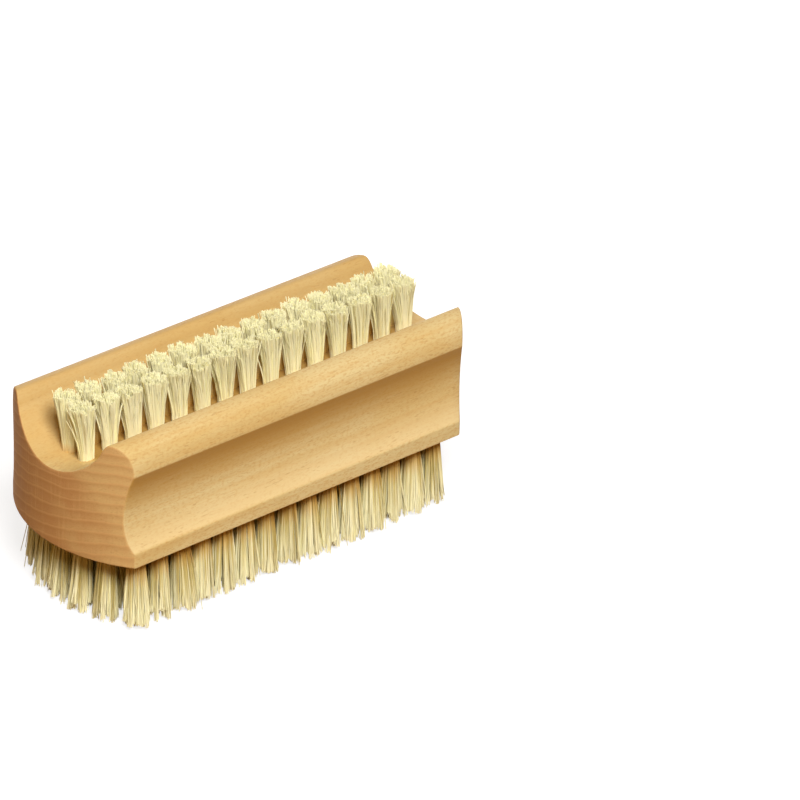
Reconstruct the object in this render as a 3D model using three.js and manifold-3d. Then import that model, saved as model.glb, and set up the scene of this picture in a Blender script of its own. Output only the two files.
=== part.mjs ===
// Nail brush: a moulded beech block with a field of long bristles below and two rows of short
// bristles in the trough on top. Each tuft is folded over a flat metal anchor in a blind hole.
// Millimetres, +Z up, X along the block, z = 0 at the cut tips of the long bristles.
import * as THREE from 'three';
import { mergeGeometries, mergeVertices } from 'three/addons/utils/BufferGeometryUtils.js';
import Module from 'manifold-3d';

const wasm = await Module();
wasm.setup();

// Block
const BLOCK_LENGTH = 95;
const BLOCK_WIDTH = 36.8;
const END_BOW = 6.3; // how far the middle of each end stands out beyond its corners
const FLOOR_THICKNESS = 16.4; // wood under the middle of the trough
const TROUGH_DEPTH = 9.3;
const RIM_WIDTH = 4.95; // from the block's side to the crest of the rim
const RIM_INSET = 0.15; // how far the rim's side lies behind the flange's side
const RIM_ROUNDING = 6; // height over which the rim turns from its side to its crest
const FLANGE_HEIGHT = 3.1; // flat band along the foot of each side
const GROOVE_FOOT_PULL = 2.8; // the finger groove's curve leaves the flange towards a point this far in
const GROOVE_FOOT_RISE = 4.1; // and this far up
const GROOVE_TOP_PULL = 1.9; // and meets the rim from a point this far in
const GROOVE_TOP_DROP = 4.6; // and this far down
const CURVE_STEPS = 8;

// Tufts: length from the wood to the cut tips, spacing, and the margins that they keep
const LONG_BRISTLE = 15.4;
const SHORT_BRISTLE = 12.4;
const LONG_PITCH = 5.4;
const LONG_ROW_SPACING = 5.68;
const SHORT_PITCH = 5.7;
const SHORT_ROW_SPACING = 5;
const SHORT_ROWS = 2;
const ROW_SIDE_MARGIN = 4.2; // from the outer long row to the block's side
const LONG_END_MARGIN = 6.5; // from the last tuft of a long row to the bowed end
const SHORT_END_MARGIN = 7.3;
const HOLE_DIAMETER = 3.4;
const LONG_HOLE_DEPTH = 7;
const SHORT_HOLE_DEPTH = 5.6;
const HOLE_SIDES = 6;

// Strands: a tuft is a few three-sided strands that lean apart towards their tips
const STRANDS = 3;
const STRAND_SIDES = 3;
const STRAND_ROOT_RADIUS = 0.6;
const STRAND_TIP_RADIUS = 0.7;
const ROOT_SPREAD = 0.9; // from the tuft's middle to a strand's middle, at the wood
const TIP_SPREAD = 1.8; // the same, at the cut tips
const STRAND_SINK = 0.8; // how deep a strand runs into the wood around it

// Beds: the slices of wood that hold the tufts of a group together
const BED_THICKNESS = 1.6;
const BED_MARGIN = 1.2; // wood around the outer holes of a bed
const CLEARANCE = 0.3;

// Anchors: flat wire blades across the short tufts' folds
const ANCHOR_WIDTH = 3.6;
const ANCHOR_HEIGHT = 1.6;
const ANCHOR_THICKNESS = 0.45;
const FOLD_THICKNESS = 0.6; // fibre under an anchor

// Sizes that follow from those above
const HALF_WIDTH = BLOCK_WIDTH / 2;
const FACE_Z = LONG_BRISTLE; // lower face of the block
const TROUGH_Z = FACE_Z + FLOOR_THICKNESS;
const CREST_Z = TROUGH_Z + TROUGH_DEPTH;
const CREST_Y = HALF_WIDTH - RIM_WIDTH;
const GROOVE_TOP_Z = CREST_Z - RIM_ROUNDING;
const TROUGH_RADIUS = (CREST_Y ** 2 + TROUGH_DEPTH ** 2) / (2 * TROUGH_DEPTH);
const END_RADIUS = (HALF_WIDTH ** 2 + END_BOW ** 2) / (2 * END_BOW);
const BED_REACH = HOLE_DIAMETER / 2 + BED_MARGIN; // from a tuft's middle to the edge of its bed

// Height of the trough's round floor at a distance y from its middle
function troughZ(y) {
  return TROUGH_Z + TROUGH_RADIUS - Math.sqrt(TROUGH_RADIUS ** 2 - y ** 2);
}

// Half length at a distance y from the middle, a margin inside the bowed ends
function endX(y, margin) {
  return BLOCK_LENGTH / 2 - margin - END_RADIUS + Math.sqrt(END_RADIUS ** 2 - y ** 2);
}

// Closed body between two loops of as many points, each counter-clockwise seen from +Z
function loft(lower, upper) {
  const count = lower.length;
  const indices = [];
  for (let i = 0; i < count; i += 1) {
    const next = (i + 1) % count;
    indices.push(i, next, count + next, i, count + next, count + i);
    if (i > 1) {
      indices.push(0, i, i - 1, count, count + i - 1, count + i);
    }
  }
  const points = [...lower, ...upper].flatMap((point) => point.toArray());
  const geometry = new THREE.BufferGeometry();
  geometry.setAttribute('position', new THREE.Float32BufferAttribute(points, 3));
  geometry.setIndex(indices);
  return geometry;
}

// Level ring of points about (x, y) at height z
function ring(x, y, z, radius, sides, turn = 0) {
  return Array.from({ length: sides }, (_, i) => {
    const angle = turn + (2 * Math.PI * i) / sides;
    return new THREE.Vector3(x + radius * Math.cos(angle), y + radius * Math.sin(angle), z);
  });
}

// Box standing on zLow about (x, y)
function box(x, y, zLow, sizeX, sizeY, height) {
  return new THREE.BoxGeometry(sizeX, sizeY, height).translate(x, y, zLow + height / 2);
}

function toSolid(geometry) {
  const bare = geometry.clone();
  bare.deleteAttribute('normal');
  bare.deleteAttribute('uv');
  const merged = mergeVertices(bare, 1e-4);
  return new wasm.Manifold(new wasm.Mesh({
    numProp: 3,
    vertProperties: new Float32Array(merged.attributes.position.array),
    triVerts: new Uint32Array(merged.index.array),
  }));
}

// One solid from bodies that lie apart from each other
function scattered(geometries) {
  return toSolid(mergeGeometries(geometries));
}

function toGeometry(solid) {
  const mesh = solid.getMesh();
  const geometry = new THREE.BufferGeometry();
  geometry.setAttribute('position', new THREE.Float32BufferAttribute(mesh.vertProperties, 3));
  geometry.setIndex(new THREE.Uint32BufferAttribute(mesh.triVerts, 1));
  geometry.computeVertexNormals();
  return geometry;
}

// Plan between two lines along X, with both ends bowed like the block's and a margin inside them
function bowedPlan(yLow, yHigh, margin) {
  const centreX = BLOCK_LENGTH / 2 - margin - END_RADIUS;
  const low = Math.asin(yLow / END_RADIUS);
  const high = Math.asin(yHigh / END_RADIUS);
  const plan = new THREE.Shape();
  plan.absarc(centreX, 0, END_RADIUS, low, high, false);
  plan.absarc(-centreX, 0, END_RADIUS, Math.PI - high, Math.PI - low, false);
  plan.closePath();
  return plan;
}

function upright(plan, zLow, zHigh) {
  const options = { depth: zHigh - zLow, bevelEnabled: false, curveSegments: CURVE_STEPS };
  return toSolid(new THREE.ExtrudeGeometry(plan, options).translate(0, 0, zLow));
}

// Cross-section of the block: flange, groove, rounded rim, trough, and the same mirrored
function blockSection() {
  const rimSide = HALF_WIDTH - RIM_INSET;
  const flangeZ = FACE_Z + FLANGE_HEIGHT;
  const footY = HALF_WIDTH - GROOVE_FOOT_PULL;
  const footZ = flangeZ + GROOVE_FOOT_RISE;
  const topY = rimSide - GROOVE_TOP_PULL;
  const topZ = GROOVE_TOP_Z - GROOVE_TOP_DROP;
  const turnZ = GROOVE_TOP_Z + 0.55 * RIM_ROUNDING;
  const turnY = CREST_Y + 0.7 * (rimSide - CREST_Y);
  const edge = Math.asin(CREST_Y / TROUGH_RADIUS);
  const section = new THREE.Shape();
  section.moveTo(-HALF_WIDTH, FACE_Z);
  section.lineTo(HALF_WIDTH, FACE_Z);
  section.lineTo(HALF_WIDTH, flangeZ);
  section.bezierCurveTo(footY, footZ, topY, topZ, rimSide, GROOVE_TOP_Z);
  section.bezierCurveTo(rimSide, turnZ, turnY, CREST_Z, CREST_Y, CREST_Z);
  section.absarc(0, TROUGH_Z + TROUGH_RADIUS, TROUGH_RADIUS, edge - Math.PI / 2, -edge - Math.PI / 2, true);
  section.bezierCurveTo(-turnY, CREST_Z, -rimSide, turnZ, -rimSide, GROOVE_TOP_Z);
  section.bezierCurveTo(-topY, topZ, -footY, footZ, -HALF_WIDTH, flangeZ);
  section.closePath();
  return section;
}

// Block before it is drilled: the section along X, cut to the bowed plan
function blankBlock() {
  const options = { depth: BLOCK_LENGTH, bevelEnabled: false, curveSegments: CURVE_STEPS };
  const bar = new THREE.ExtrudeGeometry(blockSection(), options);
  const alongX = new THREE.Matrix4().makeBasis(
    new THREE.Vector3(0, 1, 0),
    new THREE.Vector3(0, 0, 1),
    new THREE.Vector3(1, 0, 0),
  );
  bar.applyMatrix4(alongX).translate(-BLOCK_LENGTH / 2, 0, 0);
  return toSolid(bar).intersect(upright(bowedPlan(-HALF_WIDTH, HALF_WIDTH, 0), FACE_Z, CREST_Z));
}

// Evenly spaced places from -span to span, about a pitch apart
function spaced(span, pitch) {
  const gaps = Math.max(1, Math.round((2 * span) / pitch));
  return Array.from({ length: gaps + 1 }, (_, i) => -span + (2 * span * i) / gaps);
}

// Rows of tufts: each has its place across the block and its tufts' places along it
function tuftRows(rowPlaces, pitch, endMargin) {
  return rowPlaces.map((y) => ({ y, places: spaced(endX(y, endMargin), pitch) }));
}

const LONG_ROW_PLACES = spaced(HALF_WIDTH - ROW_SIDE_MARGIN, LONG_ROW_SPACING);
const SHORT_ROW_PLACES = spaced(((SHORT_ROWS - 1) * SHORT_ROW_SPACING) / 2, SHORT_ROW_SPACING);

// Facts of the two brush faces: which way the tufts point, and where their wood starts
const LONG_FACE = {
  up: -1,
  tipZ: 0,
  holeDepth: LONG_HOLE_DEPTH,
  rows: tuftRows(LONG_ROW_PLACES, LONG_PITCH, LONG_END_MARGIN),
  bedEndMargin: LONG_END_MARGIN - BED_REACH,
  woodZ: () => FACE_Z,
  bedLow: FACE_Z - CLEARANCE,
  bedHigh: FACE_Z + BED_THICKNESS,
  pocketLow: FACE_Z - 1,
  pocketHigh: FACE_Z + BED_THICKNESS + CLEARANCE,
};
const SHORT_FACE = {
  up: 1,
  tipZ: TROUGH_Z + SHORT_BRISTLE,
  holeDepth: SHORT_HOLE_DEPTH,
  rows: tuftRows(SHORT_ROW_PLACES, SHORT_PITCH, SHORT_END_MARGIN),
  bedEndMargin: SHORT_END_MARGIN - BED_REACH,
  woodZ: troughZ,
  bedLow: TROUGH_Z - BED_THICKNESS,
  bedHigh: CREST_Z,
  pocketLow: TROUGH_Z - BED_THICKNESS - CLEARANCE,
  pocketHigh: CREST_Z + 1,
};

// Half of a face's rows, with the lines along X between which their bed of wood lies
function halfOf(face, back) {
  const middle = Math.floor(face.rows.length / 2);
  const rows = back ? face.rows.slice(middle) : face.rows.slice(0, middle);
  const seam = (face.rows[middle - 1].y + face.rows[middle].y) / 2;
  const yLow = back ? seam + CLEARANCE / 2 : rows[0].y - BED_REACH;
  const yHigh = back ? rows.at(-1).y + BED_REACH : seam - CLEARANCE / 2;
  return { rows, yLow, yHigh };
}

function everyTuft(rows) {
  return rows.flatMap((row) => row.places.map((x) => ({ x, y: row.y })));
}

// Level where a hole's bottom lies, a margin short of it
function holeEndZ(face, y, margin) {
  return face.woodZ(y) - face.up * (face.holeDepth - margin);
}

// Prism along a hole, from a level in front of its mouth to its end
function alongHole(face, tuft, mouthZ, endZ, radius) {
  const [low, high] = mouthZ < endZ ? [mouthZ, endZ] : [endZ, mouthZ];
  const lower = ring(tuft.x, tuft.y, low, radius, HOLE_SIDES);
  const upper = ring(tuft.x, tuft.y, high, radius, HOLE_SIDES);
  return loft(lower, upper);
}

// One strand of a tuft, sunk into the wood at its root and cut level at its tip
function strand(face, tuft, angle) {
  const along = (radius, z, size) => ring(
    tuft.x + radius * Math.cos(angle),
    tuft.y + radius * Math.sin(angle),
    z,
    size,
    STRAND_SIDES,
    angle,
  );
  const rootZ = face.woodZ(tuft.y) - face.up * STRAND_SINK;
  const root = along(ROOT_SPREAD, rootZ, STRAND_ROOT_RADIUS);
  const tip = along(TIP_SPREAD, face.tipZ, STRAND_TIP_RADIUS);
  return face.up > 0 ? loft(root, tip) : loft(tip, root);
}

function strandsOf(face, tuft) {
  const turns = Array.from({ length: STRANDS }, (_, i) => Math.PI / 2 + (2 * Math.PI * i) / STRANDS);
  return turns.map((angle) => strand(face, tuft, angle));
}

// Lower end of a short tuft's anchor, which stands on the tuft's fold
function anchorZ(tuft) {
  return holeEndZ(SHORT_FACE, tuft.y, CLEARANCE) + FOLD_THICKNESS + CLEARANCE;
}

function anchorBox(tuft, gap) {
  return box(
    tuft.x,
    tuft.y,
    anchorZ(tuft) - gap,
    ANCHOR_THICKNESS + 2 * gap,
    ANCHOR_WIDTH + 2 * gap,
    ANCHOR_HEIGHT + 2 * gap,
  );
}

// Group of tufts: their bed of wood, the strands that stand on it and the roots in the holes
function bristleGroup(blank, face, half) {
  const plan = bowedPlan(half.yLow, half.yHigh, face.bedEndMargin);
  const bed = blank.intersect(upright(plan, face.bedLow, face.bedHigh));
  const tufts = everyTuft(half.rows);
  const rootRadius = HOLE_DIAMETER / 2 - CLEARANCE;
  const roots = tufts.map((tuft) => {
    const mouthZ = face.woodZ(tuft.y) - face.up * STRAND_SINK;
    return alongHole(face, tuft, mouthZ, holeEndZ(face, tuft.y, CLEARANCE), rootRadius);
  });
  return bed
    .add(scattered(roots))
    .add(scattered(tufts.flatMap((tuft) => strandsOf(face, tuft))));
}

// Room in the block for a face's two beds and for the roots of their tufts
function carveFace(block, face) {
  const yLow = halfOf(face, false).yLow - CLEARANCE;
  const yHigh = halfOf(face, true).yHigh + CLEARANCE;
  const plan = bowedPlan(yLow, yHigh, face.bedEndMargin - CLEARANCE);
  const holes = everyTuft(face.rows).map((tuft) => (
    alongHole(face, tuft, face.woodZ(tuft.y), holeEndZ(face, tuft.y, 0), HOLE_DIAMETER / 2)
  ));
  return block
    .subtract(upright(plan, face.pocketLow, face.pocketHigh))
    .subtract(scattered(holes));
}

const beech = new THREE.MeshStandardMaterial({ color: 0xdcab6e, roughness: 0.45, metalness: 0 });
const fibre = new THREE.MeshStandardMaterial({ color: 0xe9dcae, roughness: 0.8, metalness: 0 });
const wire = new THREE.MeshStandardMaterial({ color: 0xb9bcc0, roughness: 0.35, metalness: 1 });

const brush = new THREE.Group();

function addPiece(name, geometry, material) {
  const mesh = new THREE.Mesh(geometry, material);
  mesh.name = name;
  brush.add(mesh);
}

const shortTufts = everyTuft(SHORT_FACE.rows);
const anchorRoom = scattered(shortTufts.map((tuft) => anchorBox(tuft, CLEARANCE)));
const blank = blankBlock();

const drilled = carveFace(carveFace(blank, LONG_FACE), SHORT_FACE);
addPiece('handle_block', toGeometry(drilled.subtract(anchorRoom)), beech);

[['front', false], ['back', true]].forEach(([side, back]) => {
  const long = bristleGroup(blank, LONG_FACE, halfOf(LONG_FACE, back));
  const short = bristleGroup(blank, SHORT_FACE, halfOf(SHORT_FACE, back)).subtract(anchorRoom);
  addPiece(`long_bristles_${side}`, toGeometry(long), fibre);
  addPiece(`short_bristles_${side}`, toGeometry(short), fibre);
});

shortTufts.forEach((tuft, i) => {
  const name = `short_tuft_anchor_${String(i + 1).padStart(2, '0')}`;
  addPiece(name, anchorBox(tuft, 0), wire);
});

export default brush;
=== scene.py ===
"""Nail brush: looks of a moulded beech block with long plant-fibre tufts below and short ones in its trough.

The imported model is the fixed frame. The block and the tufts are surfaces worked out with numpy, in metres,
with X along the block, Y across it and Z up from the cut tips of the long tufts.
"""
import math
from collections import namedtuple

import bmesh
import bpy
import numpy as np
from mathutils import Matrix, Vector


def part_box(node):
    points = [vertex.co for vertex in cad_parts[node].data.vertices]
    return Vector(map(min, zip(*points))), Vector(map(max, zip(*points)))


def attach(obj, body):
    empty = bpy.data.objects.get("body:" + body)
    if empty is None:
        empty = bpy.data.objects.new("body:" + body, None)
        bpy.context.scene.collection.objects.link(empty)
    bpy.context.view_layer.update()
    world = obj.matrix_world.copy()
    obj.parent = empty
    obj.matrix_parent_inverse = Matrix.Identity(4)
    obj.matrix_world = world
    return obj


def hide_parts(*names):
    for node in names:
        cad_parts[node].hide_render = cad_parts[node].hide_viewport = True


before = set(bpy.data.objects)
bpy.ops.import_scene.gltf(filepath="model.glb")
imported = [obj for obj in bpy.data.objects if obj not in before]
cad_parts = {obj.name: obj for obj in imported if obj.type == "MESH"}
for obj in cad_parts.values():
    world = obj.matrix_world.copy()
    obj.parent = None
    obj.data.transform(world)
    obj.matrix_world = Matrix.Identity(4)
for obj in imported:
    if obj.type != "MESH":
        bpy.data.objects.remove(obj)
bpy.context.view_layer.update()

MM = 0.001

# Block: overall sizes from the frame, the rest as in the solid
BLOCK_LOW, BLOCK_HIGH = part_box("handle_block")
HALF_LENGTH = BLOCK_HIGH.x
HALF_WIDTH = BLOCK_HIGH.y
FACE_Z = BLOCK_LOW.z
CREST_Z = BLOCK_HIGH.z
END_BOW = 6.3 * MM
TROUGH_DEPTH = 9.3 * MM
RIM_WIDTH = 4.95 * MM
RIM_INSET = 0.15 * MM
RIM_ROUNDING = 6 * MM
FLANGE_HEIGHT = 3.1 * MM
GROOVE_FOOT_PULL = 2.8 * MM
GROOVE_FOOT_RISE = 4.1 * MM
GROOVE_TOP_PULL = 1.9 * MM
GROOVE_TOP_DROP = 4.6 * MM
CREST_OUTER = 0.6 * MM  # the crest's rounding, from here outside its line
CREST_INNER = 1.3 * MM  # to here on the trough's wall
CREST_PEAK = 0.4 * MM  # how far inside that line the crest's control point lies
RIM_LOW_SHARE = 0.55  # where the rim's two control points lie, as shares of its height and its width
RIM_HIGH_SHARE = 0.7
ARRIS_WIDTH = 0.4 * MM  # length of outline over which sandpaper has eased an arris
END_ARRIS = 0.35 * MM  # radius of the eased edge round each end
CURVE_STEPS = 160
SHARP_ANGLE = math.radians(40)  # edges that turn more than this stay sharp
DRILL_SIDES = 18
TROUGH_Z = CREST_Z - TROUGH_DEPTH
CREST_Y = HALF_WIDTH - RIM_WIDTH
TROUGH_RADIUS = (CREST_Y ** 2 + TROUGH_DEPTH ** 2) / (2 * TROUGH_DEPTH)
END_RADIUS = (HALF_WIDTH ** 2 + END_BOW ** 2) / (2 * END_BOW)

# Tufts, as in the solids
LONG_TIP_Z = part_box("long_bristles_front")[0].z
SHORT_TIP_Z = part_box("short_bristles_front")[1].z
LONG_PITCH = 5.4 * MM
LONG_ROW_SPACING = 5.68 * MM
SHORT_PITCH = 5.7 * MM
SHORT_ROW_SPACING = 5 * MM
ROW_SIDE_MARGIN = 4.2 * MM
LONG_END_MARGIN = 6.5 * MM
SHORT_END_MARGIN = 7.3 * MM
HOLE_RADIUS = 1.7 * MM
LONG_HOLE_DEPTH = 7 * MM
SHORT_HOLE_DEPTH = 5.6 * MM
ANCHOR_SIZE = np.array((0.45, 3.6, 1.6)) * MM
ANCHOR_LIFT = 1.2 * MM  # from a hole's end to its anchor

# Camera, from the edges and tufts in the 800 x 800 photograph
PHOTO_SIZE = 800
FOCAL_PIXELS = 6625
SENSOR_WIDTH = 36.0
CAMERA_AZIMUTH = math.radians(-42.39)
CAMERA_ELEVATION = math.radians(28.957)
CAMERA_ROLL = math.radians(1.733)
# Middle of the block's lower face, in the camera's own axes
FACE_CENTRE_SEEN = Vector((-31.351, -12.465, -1285.51)) * MM


def new_mesh(name, points, quads, triangles=None):
    """Mesh from an array of points and arrays of corner numbers, four or three to a face."""
    triangles = np.empty((0, 3), int) if triangles is None else triangles
    corners = np.concatenate([quads.ravel(), triangles.ravel()])
    starts = np.concatenate([
        np.arange(len(quads)) * 4,
        quads.size + np.arange(len(triangles)) * 3,
    ])
    mesh = bpy.data.meshes.new(name)
    mesh.vertices.add(len(points))
    mesh.vertices.foreach_set("co", points.astype(np.float32).ravel())
    mesh.loops.add(len(corners))
    mesh.loops.foreach_set("vertex_index", corners.astype(np.int32))
    mesh.polygons.add(len(starts))
    mesh.polygons.foreach_set("loop_start", starts.astype(np.int32))
    mesh.update(calc_edges=True)
    mesh.validate()
    return mesh


def new_object(name, mesh):
    """Object at the origin that shows a mesh whose points are in the frame."""
    piece = bpy.data.objects.new(name, mesh)
    bpy.context.scene.collection.objects.link(piece)
    return piece


def grid_quads(rows, columns):
    """Quads between the points of a grid that is stored row by row."""
    first = np.arange(rows - 1)[:, None] * columns + np.arange(columns - 1)[None, :]
    return np.stack([first, first + 1, first + columns + 1, first + columns], axis=-1).reshape(-1, 4)


def trough_z(y):
    """Height of the trough's floor: a circle about the X axis line above its middle."""
    return TROUGH_Z + TROUGH_RADIUS - np.sqrt(TROUGH_RADIUS ** 2 - y ** 2)


def end_x(y):
    """Half length at a distance y from the middle: each end is a circle's arc in plan."""
    return HALF_LENGTH - END_RADIUS + np.sqrt(END_RADIUS ** 2 - y ** 2)


def bezier(*controls):
    """Points of the Bezier curve on two, three or four control points, by Bernstein's weights."""
    t = np.linspace(0, 1, CURVE_STEPS)[:, None]
    degree = len(controls) - 1
    weights = [math.comb(degree, i) * t ** i * (1 - t) ** (degree - i) for i in range(degree + 1)]
    return sum(weight * np.array(control) for weight, control in zip(weights, controls))


def half_section():
    """Right half of the block's section as (y, z), from the middle of its face to that of its trough.

    Straight face and band, a cubic for the finger groove and one round the rim, a parabola over the crest
    and a circle down the trough.
    """
    rim_y = HALF_WIDTH - RIM_INSET
    band_z = FACE_Z + FLANGE_HEIGHT
    groove_z = CREST_Z - RIM_ROUNDING
    groove_foot = (HALF_WIDTH - GROOVE_FOOT_PULL, band_z + GROOVE_FOOT_RISE)
    groove_top = (rim_y - GROOVE_TOP_PULL, groove_z - GROOVE_TOP_DROP)
    crest_out = (CREST_Y + CREST_OUTER, CREST_Z)
    crest_in = (CREST_Y - CREST_INNER, trough_z(CREST_Y - CREST_INNER))
    rim_turn_low = (rim_y, groove_z + RIM_LOW_SHARE * RIM_ROUNDING)
    rim_turn_high = (CREST_Y + RIM_HIGH_SHARE * (rim_y - CREST_Y), CREST_Z)
    across = np.linspace(crest_in[0], 0, CURVE_STEPS)
    parts = [
        bezier((0, FACE_Z), (HALF_WIDTH, FACE_Z)),
        bezier((HALF_WIDTH, FACE_Z), (HALF_WIDTH, band_z)),
        bezier((HALF_WIDTH, band_z), groove_foot, groove_top, (rim_y, groove_z)),
        bezier((rim_y, groove_z), rim_turn_low, rim_turn_high, crest_out),
        bezier(crest_out, (CREST_Y - CREST_PEAK, CREST_Z), crest_in),
        np.stack([across, trough_z(across)], axis=1),
    ]
    return np.concatenate([parts[0]] + [part[1:] for part in parts[1:]])


def lengths_along(points):
    """Distance of each point from the first, along the line through them."""
    return np.concatenate([[0], np.cumsum(np.linalg.norm(np.diff(points, axis=0), axis=1))])


def sampled(points, places):
    """Points at the given distances along a line of points."""
    along = lengths_along(points)
    return np.stack([np.interp(places, along, column) for column in points.T], axis=1)


def eased(points, width, step=0.04 * MM):
    """Line of points with its corners worn: each point is the mean, under a raised cosine, of its neighbours.

    The line is mirrored in y = 0 beyond both of its ends, as the block is.
    """
    even = sampled(points, np.arange(0, lengths_along(points)[-1], step))
    reach = int(width / step)
    mirror = np.array((-1, 1))
    padded = np.concatenate([even[reach:0:-1] * mirror, even, even[-2:-reach - 2:-1] * mirror])
    window = np.hanning(2 * reach + 3)[1:-1]
    window /= window.sum()
    return np.stack([np.convolve(column, window, "valid") for column in padded.T], axis=1)


def outward(points):
    """Unit normals of a line of points that runs counter-clockwise round the section."""
    along = np.gradient(points, axis=0)
    normals = np.stack([along[:, 1], -along[:, 0]], axis=1)
    return normals / np.linalg.norm(normals, axis=1, keepdims=True)


def both_halves(points, normals):
    """A half line from the right corner to the middle, followed by its mirror image to the left corner."""
    mirror = np.array((-1, 1))
    whole = np.concatenate([points, points[-2::-1] * mirror])
    return whole, np.concatenate([normals, normals[-2::-1] * mirror])


def section_lines(flat_step=0.9 * MM, turn_step=0.07):
    """Upper and lower lines of the section from its right foot corner to its left one, with their normals.

    Points stand closer where the outline turns. Both lines have as many, at the same shares of their lengths.
    """
    outline = eased(half_section(), ARRIS_WIDTH)
    normals = outward(outline)
    corner = int(np.argmin(np.linalg.norm(outline - (HALF_WIDTH, FACE_Z), axis=1)))
    upper, upper_normals = outline[corner:], normals[corner:]
    lower, lower_normals = outline[corner::-1], normals[corner::-1]
    along = lengths_along(upper)
    turn = np.linalg.norm(np.diff(upper_normals, axis=0), axis=1)
    weight = np.concatenate([[0], np.cumsum(np.diff(along) / flat_step + turn / turn_step)])
    places = np.interp(np.linspace(0, weight[-1], int(weight[-1]) + 1), weight, along)
    foot = places / along[-1] * lengths_along(lower)[-1]
    top = both_halves(sampled(upper, places), sampled_normals(upper, upper_normals, places))
    return top, both_halves(sampled(lower, foot), sampled_normals(lower, lower_normals, foot))


def sampled_normals(line, normals, places):
    """Unit normals at the given distances along a line of points."""
    along = lengths_along(line)
    found = np.stack([np.interp(places, along, column) for column in normals.T], axis=1)
    return found / np.linalg.norm(found, axis=1, keepdims=True)


def length_stations(columns=48, arris_steps=5):
    """Stations along the block as (share of the half length, inset, setback).

    A quarter circle eases the edge round each end.
    """
    turn = np.linspace(0, math.pi / 2, arris_steps)
    inset = END_ARRIS * (1 - np.cos(turn))
    setback = END_ARRIS * (1 - np.sin(turn))
    middle = np.linspace(-1, 1, columns)[1:-1]
    left = np.stack([-np.ones(arris_steps), inset, setback], axis=1)[::-1]
    right = np.stack([np.ones(arris_steps), inset, setback], axis=1)
    straight = np.stack([middle, np.zeros_like(middle), np.full_like(middle, END_ARRIS)], axis=1)
    return np.concatenate([left, straight, right])


def swept(line, normals):
    """Grid of points: the section's line carried along the block, x = share * (end_x(y) - setback)."""
    share, inset, setback = (column[:, None] for column in length_stations().T)
    y = line[None, :, 0] - inset * normals[None, :, 0]
    z = line[None, :, 1] - inset * normals[None, :, 1]
    x = share * (end_x(y) - setback)
    return np.stack([x, y, z], axis=-1)


def end_face(upper_edge, lower_edge, side, steps=18):
    """Grid of points over a bowed end, with x = end_x(y).

    Its lines are straight in (y, z), from the upper edge to the lower.
    """
    share = np.linspace(0, 1, steps)[:, None, None]
    grid = (1 - share) * upper_edge[None] + share * lower_edge[None]
    grid[..., 0] = side * end_x(grid[..., 1])
    return grid


def block_mesh():
    """Closed surface of the block: the two swept lines and the two ends, welded where they meet."""
    (upper, upper_normals), (lower, lower_normals) = section_lines()
    top = swept(upper, upper_normals)
    foot = swept(lower, lower_normals)
    grids = [top, foot, end_face(top[0], foot[0], -1), end_face(top[-1], foot[-1], 1)]
    offsets = np.cumsum([0] + [grid.shape[0] * grid.shape[1] for grid in grids])
    points = np.concatenate([grid.reshape(-1, 3) for grid in grids])
    quads = np.concatenate([grid_quads(*grid.shape[:2]) + at for grid, at in zip(grids, offsets)])
    mesh = new_mesh("beech_block", points, quads)
    welded(mesh)
    return mesh


def welded(mesh):
    """Joins points that coincide, drops faces with no area, and turns all faces outwards."""
    work = bmesh.new()
    work.from_mesh(mesh)
    bmesh.ops.remove_doubles(work, verts=work.verts, dist=0.002 * MM)
    bmesh.ops.dissolve_degenerate(work, edges=work.edges, dist=0.001 * MM)
    bmesh.ops.recalc_face_normals(work, faces=work.faces)
    work.to_mesh(mesh)
    work.free()


def spaced(span, pitch):
    """Even places from -span to span, about a pitch apart."""
    return np.linspace(-span, span, round(2 * span / pitch) + 1)


def tuft_places(rows, pitch, end_margin):
    """Places (x, y) of the tufts of some rows, each as long as the bowed ends let it be."""
    lines = [(spaced(end_x(y) - end_margin, pitch), y) for y in rows]
    return np.concatenate([np.stack([x, np.full_like(x, y)], axis=1) for x, y in lines])


LONG_ROWS = spaced(HALF_WIDTH - ROW_SIDE_MARGIN, LONG_ROW_SPACING)
SHORT_ROWS = spaced(SHORT_ROW_SPACING / 2, SHORT_ROW_SPACING)


def turned_columns(places, profile, sides):
    """Closed columns at places (x, y, z): a profile of (radius, height) turned about Z, with capped ends."""
    turn = np.linspace(0, 2 * math.pi, sides, endpoint=False)
    ring = np.stack([np.cos(turn), np.sin(turn), np.zeros(sides)], axis=1)
    radius, height = np.array(profile).T
    column = radius[:, None, None] * ring[None] + height[:, None, None] * np.array((0, 0, 1))
    middles = np.array([(0, 0, height[0]), (0, 0, height[-1])])
    one = np.concatenate([column.reshape(-1, 3), middles])
    level, step = np.meshgrid(np.arange(len(profile) - 1), np.arange(sides), indexing="ij")
    after = (step + 1) % sides
    at = level * sides
    quads = np.stack([at + step, at + after, at + sides + after, at + sides + step], axis=-1).reshape(-1, 4)
    last = (len(profile) - 1) * sides
    step, after = step[0], after[0]
    low_cap = np.stack([after, step, np.full(sides, last + sides)], axis=1)
    high_cap = np.stack([last + step, last + after, np.full(sides, last + sides + 1)], axis=1)
    triangles = np.concatenate([low_cap, high_cap])
    shift = (np.arange(len(places)) * len(one))[:, None, None]
    points = (one[None] + places[:, None, :]).reshape(-1, 3)
    return points, (quads[None] + shift).reshape(-1, 4), (triangles[None] + shift).reshape(-1, 3)


def drill_bits(places, wood_z, up, depth):
    """Columns that cut the blind holes of one face, wider at the mouth where the drill broke the surface."""
    clear, mouth, broken = 0.3 * MM, 0.28 * MM, 0.16 * MM
    profile = [(HOLE_RADIUS, -depth), (HOLE_RADIUS, -broken), (HOLE_RADIUS + mouth, clear)]
    if up < 0:
        profile = [(radius, -height) for radius, height in reversed(profile)]
    at = np.concatenate([places, wood_z[:, None]], axis=1)
    return turned_columns(at, profile, DRILL_SIDES)


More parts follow.
